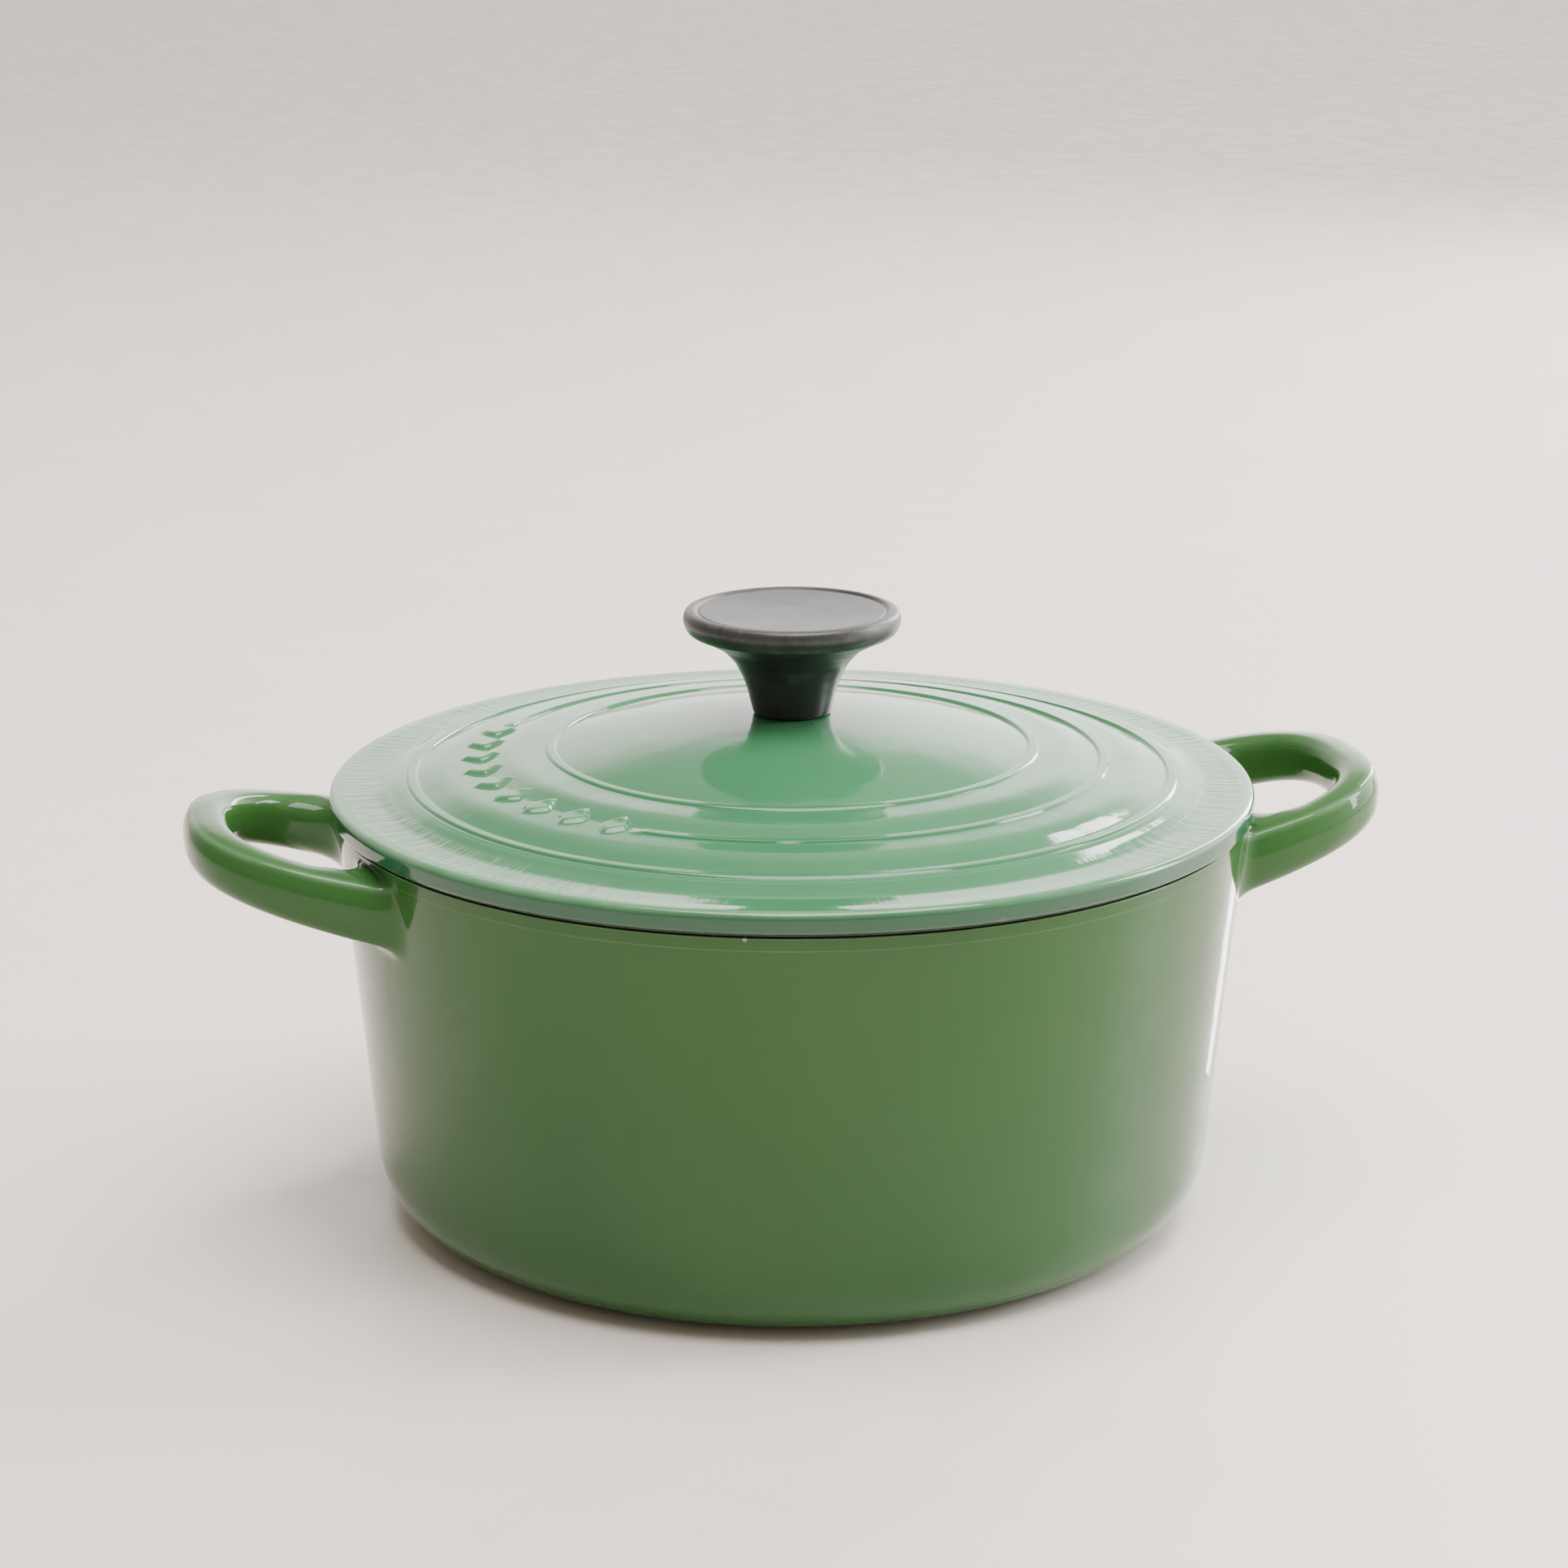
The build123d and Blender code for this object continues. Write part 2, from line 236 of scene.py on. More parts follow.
def handle(lip):
    """Loop handle on the +X side, as lines of points running from one root on the wall round to the other.

    A soft rectangular bar follows a rising D-shaped loop. Its outer top edge stands up as a low lip, and its
    ends flare into the wall.
    """
    bar_width = 11.3
    start, reach = RIM_RADIUS - 11.3, HANDLE_TIP - bar_width / 2 - 0.1
    half_width, loop_power = 36.9, 2.6
    mid_height, root_drop = 103.7, 9.3  # the bar's centre at the tip, and how much lower it is at the wall
    tip_bar, root_bar = 12.8, 15.6  # bar height at the tip and at the wall
    section_power = 2.7
    stations, flare_points = 130, 10
    flare_in, flare_out, flare_down = 17.0, 4.5, 3.5
    web_rise = 1.8  # how much the inner top edge comes up to meet the rim

    t = np.linspace(0, math.pi, stations * 3)
    u = start + (reach - start) * superpower(np.sin(t), 2 / loop_power)
    v = half_width * superpower(np.cos(t), 2 / loop_power)
    length = np.concatenate([[0], np.cumsum(np.hypot(np.diff(u), np.diff(v)))])
    even = np.linspace(0, length[-1], stations)
    u, v = np.interp(even, length, u), np.interp(even, length, v)
    du, dv = np.gradient(u), np.gradient(v)
    size = np.hypot(du, dv)
    out_u, out_v = -dv / size, du / size
    if out_u[stations // 2] < 0:
        out_u, out_v = -out_u, -out_v
    inward = np.clip((reach - u) / (reach - RIM_RADIUS), 0, 1.35)
    centre_height = mid_height - root_drop * inward
    bar_height = tip_bar + (root_bar - tip_bar) * inward

    around = np.arange(HANDLE_SIDES) * TAU / HANDLE_SIDES  # 0 on the outside of the loop, a quarter turn on top
    groove_place = 0.52
    crest = np.exp(-((around - LIP_PLACE) / 0.15) ** 2) - 0.9 * np.exp(-((around - groove_place) / 0.30) ** 2)
    grow = lip * crest[:, None] * (0.55 + 0.45 * np.clip(inward, 0, 1)[None])
    across = superpower(np.cos(around), 2 / section_power)[:, None] * bar_width / 2
    across = across + grow * np.cos(around)[:, None]
    upward = superpower(np.sin(around), 2 / section_power)[:, None] * bar_height[None] / 2
    upward = upward + grow * np.sin(around)[:, None]
    towards_hole = smoothstep(-0.5, 0.9, -np.cos(around)) * smoothstep(-0.1, 0.6, np.sin(around))
    upward = upward + web_rise * towards_hole[:, None] * smoothstep(0.62, 1.0, inward)[None]
    lines = np.stack([u[None] + out_u[None] * across, v[None] + out_v[None] * across,
                      centre_height[None] + upward], axis=-1)  # side, station, xyz

    def crossing(line, distance):
        """Where a line coming in from the tip gets to a distance from the wall: its place and position."""
        away = np.hypot(line[:, 0], line[:, 1]) - np.interp(line[:, 2], WALL_HEIGHTS, WALL_RADII)
        k = int(np.argmax(away > distance))
        share = (distance - away[k - 1]) / (away[k] - away[k - 1])
        return k, line[k - 1] + (line[k] - line[k - 1]) * share

    half = stations // 2
    out_share, up_share = superpower(np.cos(around), 0.6), superpower(np.sin(around), 0.6)
    ends = []
    for part in (lines[:, :half], lines[:, ::-1][:, :half]):
        hits = np.array([crossing(line, 0.0)[1] for line in part])
        middle = hits.mean(axis=0)
        room = WINDOW_TOP - 0.2 - hits[:, 2].max()
        columns = []
        for line, hit, out, up in zip(part, hits, out_share, up_share):
            sideways = np.array([-hit[1], hit[0], 0]) / math.hypot(hit[0], hit[1]) * np.sign(middle[1])
            spread = sideways * out * (flare_out if out > 0 else flare_in)
            spread = spread + np.array([0, 0, up * (room if up > 0 else flare_down)])
            k, lead = crossing(line, max(1.0, np.linalg.norm(spread)))
            foot = on_wall(hit + spread)
            steps = np.linspace(0, 1, flare_points)
            curve = [(1 - q) ** 2 * lead + 2 * q * (1 - q) * on_wall(hit) + q * q * foot for q in steps]
            columns.append((k, curve))
        ends.append(columns)
    result = []
    for line, (first_k, first_curve), (last_k, last_curve) in zip(lines, *ends):
        run = np.vstack([first_curve[0], line[first_k:stations - last_k], last_curve[0]])
        along = np.concatenate([[0], np.cumsum(np.linalg.norm(np.diff(run, axis=0), axis=1))])
        even = np.linspace(0, along[-1], stations)[1:-1]
        smooth = [np.array([np.interp(place, along, run[:, axis]) for axis in range(3)]) for place in even]
        result.append(first_curve[::-1] + smooth + last_curve)
    return np.array(result)


def pot_iron():
    """Pot and both handles as one continuous skin: the wall is opened and stitched round each handle root."""
    outline = pot_outline()
    rows = len(outline)
    inside_wall = 110  # every outside point between those heights is further out than this
    window_rows = [
        i for i in range(rows - 1)
        if WINDOW_BOTTOM < outline[i, 1] <= WINDOW_TOP + 1e-6 and outline[i, 0] > inside_wall
        and outline[i + 1, 1] > outline[i, 1]
    ]
    half_columns = 38  # half the width of the opened part, in columns of faces
    angles = np.arange(POT_SEGMENTS) * TAU / POT_SEGMENTS
    vertices, edge = [], []
    for radius, height, convex in outline:
        vertices += list(zip(radius * np.cos(angles), radius * np.sin(angles), np.full(POT_SEGMENTS, height)))
        edge += [convex] * POT_SEGMENTS

    def grid(row, column):
        return row * POT_SEGMENTS + column % POT_SEGMENTS

    low_row, high_row = window_rows[0], window_rows[-1]
    opened = set()
    for middle in (0, POT_SEGMENTS // 2):
        for column in range(middle - half_columns, middle + half_columns):
            opened.add(column % POT_SEGMENTS)
    faces = []
    for row in range(rows - 1):
        for column in range(POT_SEGMENTS):
            if low_row <= row < high_row and column in opened:
                continue
            faces.append([grid(row, column), grid(row, column + 1),
                          grid(row + 1, column + 1), grid(row + 1, column)])
    for side, lip in ((1, 0.42), (-1, 0.28)):
        lines = handle(lip)
        first = len(vertices)
        count = lines.shape[1]
        points = lines.reshape(-1, 3) * (side, 1, 1)
        vertices += [tuple(point) for point in points]
        turn = np.arange(HANDLE_SIDES) * TAU / HANDLE_SIDES
        inner_edge = 2.3
        worn = 0.75 * np.exp(-((turn - LIP_PLACE) / 0.16) ** 2) + 0.3 * np.exp(-((turn - inner_edge) / 0.3) ** 2)
        edge += list(np.repeat(worn, count))
        for index in range(HANDLE_SIDES):
            after = (index + 1) % HANDLE_SIDES
            for k in range(count - 1):
                faces.append([first + index * count + k, first + after * count + k,
                              first + after * count + k + 1, first + index * count + k + 1])

        # flat layout of the opened part of the wall: distance round the wall and height
        scale = RIM_RADIUS * TAU / POT_SEGMENTS
        flat, owner = [], []
        loops = []
        for place in (0, count - 1):
            loop = []
            for index in range(HANDLE_SIDES):
                point = lines[index, place]
                loop.append(Vector((RIM_RADIUS * math.atan2(point[1], point[0]), point[2])))
                owner.append(first + index * count + place)
            loops.append(loop)
            flat += loop
        bonds = [
            (i + base, (i + 1) % HANDLE_SIDES + base)
            for base in (0, HANDLE_SIDES) for i in range(HANDLE_SIDES)
        ]
        border = [(low_row, c) for c in range(-half_columns, half_columns)]
        border += [(r, half_columns) for r in range(low_row, high_row)]
        border += [(high_row, c) for c in range(half_columns, -half_columns, -1)]
        border += [(r, -half_columns) for r in range(high_row, low_row, -1)]
        inner = [(r, c) for r in range(low_row + 1, high_row) for c in range(1 - half_columns, half_columns)]
        first_border = len(flat)
        for row, column in border + inner:
            spot = Vector((column * scale, outline[row, 1]))
            if (row, column) not in border:
                near = any(min((spot - p).length for p in loop) <= 1.0 for loop in loops)
                if near or any(inside_loop(spot, loop) for loop in loops):
                    continue
            flat.append(spot)
            owner.append(grid(row, column if side > 0 else POT_SEGMENTS // 2 - column))
        bonds += [(first_border + i, first_border + (i + 1) % len(border)) for i in range(len(border))]
        spots, _, triangles, sources, _, _ = geometry.delaunay_2d_cdt(flat, bonds, [], 1, 1e-6, True)
        for triangle in triangles:
            centre = sum((spots[i] for i in triangle), Vector((0, 0))) / len(triangle)
            if not any(inside_loop(centre, loop) for loop in loops):
                faces.append([owner[sources[i][0]] for i in triangle])
    return new_mesh("pot_iron_shell", vertices, faces, edge)


def inside_loop(spot, loop):
    """Whether a flat point is inside a closed loop of points."""
    inside = False
    for a, b in zip(loop, loop[1:] + loop[:1]):
        if (a.y > spot.y) != (b.y > spot.y):
            crossing = a.x + (spot.y - a.y) * (b.x - a.x) / (b.y - a.y)
            if spot.x < crossing:
                inside = not inside
    return inside


def pot_lining():
    food_radius = CAVITY_RADIUS - LINING
    foot = foot_of(CAVITY_RADIUS, COAT_BOTTOM, LINING_FLOOR)
    food_foot = foot_of(food_radius, COAT_BOTTOM, LINING_FLOOR + LINING)
    outline = rounded([
        (0, LINING_FLOOR, 0), (*foot, 20.6), (CAVITY_RADIUS, COAT_BOTTOM, 0), (food_radius, COAT_BOTTOM, 0),
        (*food_foot, 20.1), (0, LINING_FLOOR + LINING, 0),
    ], arc_points=16)
    return lathe("pot_cream_lining", outline, 384)


def rim_coat():
    """Black ground coat on the pot's rim, with an uneven outside edge."""
    ragged = ripple(4, 60, 20)
    inside = CAVITY_RADIUS - LINING
    outline = rounded([
        ((inside + COAT_RADIUS) / 2, COAT_BOTTOM - 0.25, 0), (COAT_RADIUS + 0.35, COAT_BOTTOM - 0.25, 0.1),
        (COAT_RADIUS, RIM_HEIGHT - 0.02, 0.3), (inside, RIM_HEIGHT - 0.02, 0.4), (inside, COAT_BOTTOM, 0),
    ])

    def shift(radius, height, angle, row):
        if radius < COAT_RADIUS - 1:
            return 0.0, 0.0
        return 0.22 * ragged(angle), 0.0

    return lathe("pot_black_rim", outline, 1024, shift)


# ---- lid ----
RINGS = (59.6, 77.5, 94.6)  # inside radius of each raised ring
RING_WIDTH = 3.1
RING_HEIGHT = 0.55
DOME_EDGE = 119.6
BAND_TOP = 111.0
BAND_INSIDE = 103.5
MOTIF_ANGLES = (math.radians(147.5), math.radians(230))  # lozenges take the middle ring's place between these
MOTIF_COUNT = 9


def dome(radius):
    """Height of the lid's central dome."""
    curvature = (RINGS[0] ** 2) / (2 * (LID_TOP - DOME_EDGE))
    return LID_TOP - radius ** 2 / (2 * curvature)


def ring_relief(radius, inside):
    """Flat-topped bead between two radii."""
    soft = 0.6
    rise = smoothstep(inside, inside + soft, radius)
    fall = 1 - smoothstep(inside + RING_WIDTH - soft, inside + RING_WIDTH, radius)
    return RING_HEIGHT * rise * fall


def lid_outline():
    """Outline of the lid: closed underneath, flat band and edge, then three convex terraces up to the dome."""
    knob_seat = 10.6
    corner_points = [
        (0, LID_CENTRE_UNDER, 0), (62, DOME_EDGE - 3.3, 30), (103, 109.7, 3), (SPIGOT_RADIUS - 0.5, SEAT_TOP, 0),
        (LID_RADIUS - 1.6, SEAT_TOP, 0.2), (LID_RADIUS, SEAT_TOP + 0.6, 1.0), (LID_RADIUS, BAND_TOP - 0.1, 2.2),
        (LID_RADIUS - 6, BAND_TOP - 0.35, 14), (BAND_INSIDE + 1.2, BAND_TOP - 0.3, 8),
        (RINGS[2] + RING_WIDTH + 1.8, 112.6, 5), (RINGS[2] + RING_WIDTH + 0.4, 113.0, 1.2),
        (RINGS[2], 113.3, 6),
        (RINGS[2] - 6.5, 115.7, 22), (RINGS[1] + RING_WIDTH + 1.5, 116.35, 12), (RINGS[1], 116.8, 6),
        (RINGS[1] - 6.5, 118.75, 22), (RINGS[0] + RING_WIDTH + 1.5, 119.25, 12), (RINGS[0], dome(RINGS[0]), 2),
    ]
    outer = rounded(corner_points, arc_points=9, run_step=1.6)
    centre = [(radius, dome(radius), 0.0) for radius in np.linspace(RINGS[0], knob_seat, 24)[1:]]
    centre += [(knob_seat - 1, dome(knob_seat), 0.0), (0, dome(knob_seat), 0.0)]
    return denser(np.vstack([outer, centre]), RINGS, RING_WIDTH)


def denser(outline, insides, width, fine=0.36):
    """Adds points to an outline where the raised rings need them."""
    result = [outline[0]]
    for before, here in zip(outline, outline[1:]):
        middle = (before[0] + here[0]) / 2
        is_top = here[0] < before[0] and before[1] > BAND_TOP
        if is_top and any(inside - 0.6 < middle < inside + width + 0.6 for inside in insides):
            count = int(np.ceil(abs(here[0] - before[0]) / fine))
            for k in range(1, count):
                result.append(before + (here - before) * k / count)
        result.append(here)
    return np.array(result)


def lid_iron():
    outline = lid_outline()
    top_start = int(np.argmax(outline[:, 0])) + 4

    def shift(radius, height, angle, row):
        rise = np.zeros_like(angle)
        if row > top_start:
            first, last = MOTIF_ANGLES
            gap = smoothstep(first - 0.03, first + 0.01, angle)
            gap = gap * (1 - smoothstep(last - 0.01, last + 0.03, angle))
            rise = rise + ring_relief(radius, RINGS[0]) + ring_relief(radius, RINGS[2])
            rise = rise + ring_relief(radius, RINGS[1]) * (1 - gap)
        return 0.0, rise

    lid = lathe("lid_iron_shell", outline, 350, shift)
    top = outline[top_start:][::-1]
    return weld(lid, [lozenge(number, top) for number in range(MOTIF_COUNT)])


def lozenge(number, top):
    """One soft raised lozenge standing on the lid's upper face."""
    first, last = MOTIF_ANGLES
    middle_radius = RINGS[1] + 1.4
    middle_angle = first + (last - first) * (number + 0.5) / MOTIF_COUNT
    half_long, half_wide, rise = 5.2, 4.4, 0.95
    sides = 48
    turns = np.arange(sides) * TAU / sides
    shape = (np.abs(np.cos(turns)) ** 1.25 + np.abs(np.sin(turns)) ** 1.25) ** (-1 / 1.25)
    vertices, edge = [], []

    def on_lid(along, across, height):
        radius, angle = middle_radius + along, middle_angle + across / middle_radius
        surface = np.interp(radius, top[:, 0], top[:, 1])
        return (radius * math.cos(angle), radius * math.sin(angle), surface + height)

    steps = np.linspace(0.12, 1.12, 13)
    vertices.append(on_lid(0, 0, rise))
    edge.append(0.2)
    for step in steps:
        height = rise * (1 - float(smoothstep(0.58, 1.06, step))) - (0.12 if step > 1.08 else 0.0)
        for turn, reach in zip(turns, shape * step):
            along, across = half_long * reach * math.cos(turn), half_wide * reach * math.sin(turn)
            vertices.append(on_lid(along, across, height))
            edge.append(0.55 if 0.55 < step < 0.75 else 0.1)
    faces = [(0, 1 + k, 1 + (k + 1) % sides) for k in range(sides)]
    for ring in range(len(steps) - 1):
        low = 1 + ring * sides
        high = low + sides
        faces += [(low + k, high + k, high + (k + 1) % sides, low + (k + 1) % sides) for k in range(sides)]
    return new_mesh(f"lozenge_{number}", vertices, faces, edge, 60)


def weld(first, others):
    """Joins meshes into the first one."""
    shell = bmesh.new()
    for piece in [first, *others]:
        shell.from_mesh(piece.data)
    shell.to_mesh(first.data)
    shell.free()
    for piece in others:
        bpy.data.objects.remove(piece)
    return first


def lid_lining():
    """Cream enamel inside the lid, with the ring that locates it in the pot."""
    ring_in = 104.8
    outline = rounded([
        (3.4, LID_CENTRE_UNDER - LINING, 0), (11, LID_CENTRE_UNDER - LINING, 3), (62, DOME_EDGE - 3.8, 60),
        (ring_in - 1.5, 109.2, 2.2), (ring_in + 0.3, SPIGOT_BOTTOM, 1.2), (SPIGOT_RADIUS, SPIGOT_BOTTOM, 1.2),
        (SPIGOT_RADIUS, SEAT_TOP, 0), (SPIGOT_RADIUS - 0.6, SEAT_TOP, 0), (ring_in - 1.5, 109.7, 2),
        (62, DOME_EDGE - 3.3, 60), (3.4, LID_CENTRE_UNDER, 0),
    ], arc_points=9)
    return lathe("lid_cream_lining", outline, 384)


def seat_coat():
    """Black ground coat on the lid's seat, with an uneven outside edge."""
    ragged = ripple(9, 60, 24)
    middle = (SPIGOT_RADIUS + SEAT_RADIUS) / 2
    outline = rounded([
        (middle, RIM_HEIGHT + 0.02, 0), (SEAT_RADIUS - 0.5, RIM_HEIGHT + 0.02, 0.2),
        (SEAT_RADIUS - 0.1, SEAT_TOP + 0.1, 0.2), (SPIGOT_RADIUS, SEAT_TOP + 0.1, 0),
        (SPIGOT_RADIUS, RIM_HEIGHT + 0.02, 0.2),
    ])

    def shift(radius, height, angle, row):
        if radius < SEAT_RADIUS - 1.2:
            return 0.0, 0.0
        return 0.3 * ragged(angle), 0.0

    return lathe("lid_black_seat", outline, 1024, shift)


# ---- knob ----
def knob_body():
    """Mushroom knob: flared neck, thick rounded disc and a dished top inside a groove."""
    outline = rounded([
        (0, KNOB_BOTTOM, 0), (9.75, KNOB_BOTTOM, 0.7), (10.2, 129.6, 20), (11.3, 134.0, 20), (12.6, 137.6, 12),
        (14.6, 141.4, 10), (17.9, 144.9, 10), (23.6, 147.9, 20), (26.6, 149.1, 3.5),
        (KNOB_RADIUS, KNOB_TOP - 2.7, 3.2),
        (26.9, KNOB_TOP - 0.35, 2.6), (24.9, KNOB_TOP - 0.02, 1.6), (24.0, KNOB_TOP - 0.55, 0.35),
        (23.7, KNOB_TOP - 0.75, 0.25), (23.2, KNOB_TOP - 0.5, 0.4), (18, KNOB_TOP - 0.85, 12),
        (8, KNOB_TOP - 1.2, 12), (0, KNOB_TOP - 1.25, 0),
    ], arc_points=8)
    return lathe("knob_body", outline, 384)


# ---- materials ----
class Shader:
    """A node material whose helpers add one node each and give back its output."""

    def __init__(self, name, **settings):
        self.material = bpy.data.materials.new(name)
        self.material.use_nodes = True
        self.tree = self.material.node_tree
        self.surface = self.tree.nodes["Principled BSDF"]
        for socket, value in settings.items():
            self.surface.inputs[socket.replace("_", " ")].default_value = value
        self.place = self.add("ShaderNodeTexCoord").outputs["Object"]
        split = self.add("ShaderNodeSeparateXYZ", self.place)
        self.x, self.y, self.height = split.outputs
        flat = self.add("ShaderNodeCombineXYZ", self.x, self.y)
        self.radius = self.add("ShaderNodeVectorMath", flat.outputs[0], operation="LENGTH").outputs["Value"]
        self.angle = self.math("ARCTAN2", self.y, self.x)

    def add(self, kind, *inputs, **settings):
        node = self.tree.nodes.new(kind)
        for key, value in settings.items():
            setattr(node, key, value)
        for socket, value in zip(node.inputs, inputs):
            self.put(socket, value)
        return node

    def put(self, socket, value):
        if isinstance(value, bpy.types.NodeSocket):
            self.tree.links.new(value, socket)
        elif value is not None:
            socket.default_value = value

    def math(self, operation, *values):
        return self.add("ShaderNodeMath", *values, operation=operation).outputs[0]

    def step(self, value, low, high, start=0.0, end=1.0):
        """Smooth change from start to end as value goes from low to high."""
        spread = (value, low, high, start, end)
        return self.add("ShaderNodeMapRange", *spread, interpolation_type="SMOOTHSTEP").outputs[0]

    def band(self, value, low, high, soft):
        """1 between low and high, 0 outside."""
        rise = self.step(value, low - soft, low + soft)
        return self.math("MULTIPLY", rise, self.step(value, high - soft, high + soft, 1.0, 0.0))

    def vector(self, x=0.0, y=0.0, z=0.0):
        return self.add("ShaderNodeCombineXYZ", x, y, z).outputs[0]

    def noise(self, scale, detail=2.0, roughness=0.5, vector=None):
        node = self.add("ShaderNodeTexNoise", vector or self.place)
        for socket, value in (("Scale", scale), ("Detail", detail), ("Roughness", roughness)):
            node.inputs[socket].default_value = value
        return node.outputs["Fac"]

    def mix(self, factor, first, second):
        node = self.add("ShaderNodeMix", data_type="RGBA")
        self.put(node.inputs["Factor"], factor)
        for socket, value in ((node.inputs[6], first), (node.inputs[7], second)):
            self.put(socket, (*value, 1.0) if isinstance(value, tuple) else value)
        return node.outputs[2]

    def worn(self):
        return self.add("ShaderNodeAttribute", attribute_name="edge_wear").outputs["Fac"]

    def bump(self, *layers):
        """Stacks bumps, each (height, strength, distance in metres)."""
        normal = None
        for height, strength, distance in layers:
            node = self.add("ShaderNodeBump")
            node.inputs["Strength"].default_value = strength
            node.inputs["Distance"].default_value = distance
            self.put(node.inputs["Height"], height)
            self.put(node.inputs["Normal"], normal)
            normal = node.outputs[0]
        self.put(self.surface.inputs["Normal"], normal)

    def set(self, socket, value):
        self.put(self.surface.inputs[socket], value)


GREEN_THIN = (0.200, 0.360, 0.190)
CHIPS = ((-78.0, 105.7, 1.5), (-76.6, 105.4, 0.7), (-107.6, 104.0, 0.9))  # angle in degrees, height and size


def green_enamel(name, on_lid):
    """Glossy green enamel: slow tone changes, paler where it is thin on edges, pinholes, chips and ripples, with
    painted shade on the pot's wall and the lid's side and a painted reflection in the streaks on the lid's band.
    """
    s = Shader(name, IOR=1.52)
    # painted shade: the pot's wall takes a darker, yellower green than the lid, for the shade on one enamel
    tone = (0.044, 0.190, 0.080) if on_lid else (0.034, 0.110, 0.024)
    deep = (0.022, 0.120, 0.054) if on_lid else (0.016, 0.076, 0.028)
    mottle = s.noise(9, 2, 0.5)
    cloud = s.noise(42, 3, 0.6)
    colour = s.mix(s.step(mottle, 0.35, 0.68, 0.0, 0.22), tone, deep)
    colour = s.mix(s.step(cloud, 0.45, 0.7, 0.0, 0.10), colour, deep)
    speck = s.step(s.noise(560, 1), 0.745, 0.785)
    colour = s.mix(s.math("MULTIPLY", speck, 0.4), colour, (0.04, 0.09, 0.045))
    thin = s.math("MULTIPLY", s.worn(), s.step(s.noise(90, 3), 0.25, 0.7, 0.45, 1.0))
    colour = s.mix(s.math("MULTIPLY", thin, 0.62), colour, GREEN_THIN)
    grain = s.noise(420, 3, 0.6)
    for angle, height, size in CHIPS:
        across = s.math("MULTIPLY", s.math("SUBTRACT", s.angle, math.radians(angle)), LID_RADIUS * MM)
        up = s.math("SUBTRACT", s.height, height * MM)
        away = s.math("SQRT", s.math("ADD", s.math("POWER", across, 2), s.math("POWER", up, 2)))
        reach = s.math("ADD", s.math("DIVIDE", away, size * MM), s.math("SUBTRACT", grain, 0.5))
        chip = s.math("MULTIPLY", s.step(reach, 0.62, 0.8, 1.0, 0.0), s.step(s.radius, 0.112, 0.1135))
        colour = s.mix(s.math("MULTIPLY", chip, 0.85), colour, (0.40, 0.38, 0.30))
    slow = s.noise(26, 2, 0.4)
    peel = s.noise(190, 2, 0.5)
    bumps = [(slow, 0.5, 0.0014 if on_lid else 0.0009), (peel, 0.22, 0.00018)]
    rough = s.step(s.noise(70, 3), 0.3, 0.75, 0.05, 0.11)
    if on_lid:
        fan = s.vector(s.math("MULTIPLY", s.angle, 62), s.math("MULTIPLY", s.radius, 26))
        streaks = s.noise(1, 3, 0.62, vector=fan)
        near_handles = s.step(s.math("ABSOLUTE", s.x), 0.045, 0.08, 0.12, 1.0)
        on_band = s.math("MULTIPLY", s.band(s.radius, 0.1025, 0.1140, 0.0014), near_handles)
        patches = s.step(s.noise(11, 2), 0.36, 0.6)
        streaks_and_painted_reflection = s.math("MULTIPLY", s.math("MULTIPLY", on_band, s.step(streaks, 0.5, 0.66)), patches)
        # the streaks' bump and roughness are the enamel's own; their pale pinkish-brown colour is a painted
        # reflection
        colour = s.mix(s.math("MULTIPLY", streaks_and_painted_reflection, 0.5), colour, (0.26, 0.22, 0.17))
        # painted shade: the lid's upright outer side is painted a darker green
        side = s.band(s.height, 0.1045, 0.1098, 0.0012)
        outer = s.step(s.radius, 0.1155, 0.1165)
        edge = s.math("MULTIPLY", s.math("MULTIPLY", side, outer), 0.9)
        colour = s.mix(edge, colour, (0.014, 0.080, 0.036))
        bumps.append((s.math("MULTIPLY", streaks, on_band), 0.6, 0.0006))
        rough = s.math("ADD", rough, s.math("MULTIPLY", streaks_and_painted_reflection, 0.12))
    else:
        # painted shade: the wall turns darker and bluer towards its foot
        colour = s.mix(s.step(s.height, 0.005, 0.1, 0.34, 0.0), colour, deep)
        base = s.step(s.height, 0.0006, 0.0025, 1.0, 0.0)
        scuff = s.math("MULTIPLY", base, s.step(s.noise(130, 5, 0.7), 0.45, 0.62))
        colour = s.mix(s.math("MULTIPLY", scuff, 0.6), colour, (0.16, 0.15, 0.13))
        rough = s.math("ADD", rough, s.math("MULTIPLY", scuff, 0.4))
        s.surface.inputs["Specular IOR Level"].default_value = 0.26
    s.set("Base Color", colour)
    s.set("Roughness", rough)
    s.bump(*bumps)
    return s.material


def cream_enamel():
    s = Shader("cream_enamel", IOR=1.52)
    colour = s.mix(s.step(s.noise(18, 3), 0.35, 0.7), (0.79, 0.72, 0.57), (0.83, 0.77, 0.63))
    floor = s.step(s.height, 0.006, 0.022, 1.0, 0.0)
    stain = s.math("MULTIPLY", floor, s.step(s.noise(35, 5, 0.65), 0.45, 0.75))
    colour = s.mix(s.math("MULTIPLY", stain, 0.35), colour, (0.60, 0.47, 0.31))
    speck = s.step(s.noise(600, 1), 0.75, 0.79)
    colour = s.mix(s.math("MULTIPLY", speck, 0.5), colour, (0.35, 0.28, 0.2))
    s.set("Base Color", colour)
    s.set("Roughness", s.step(s.noise(60, 3), 0.3, 0.7, 0.08, 0.2))
    s.bump((s.noise(30, 2), 0.4, 0.001), (s.noise(220, 2), 0.25, 0.00015))
    return s.material


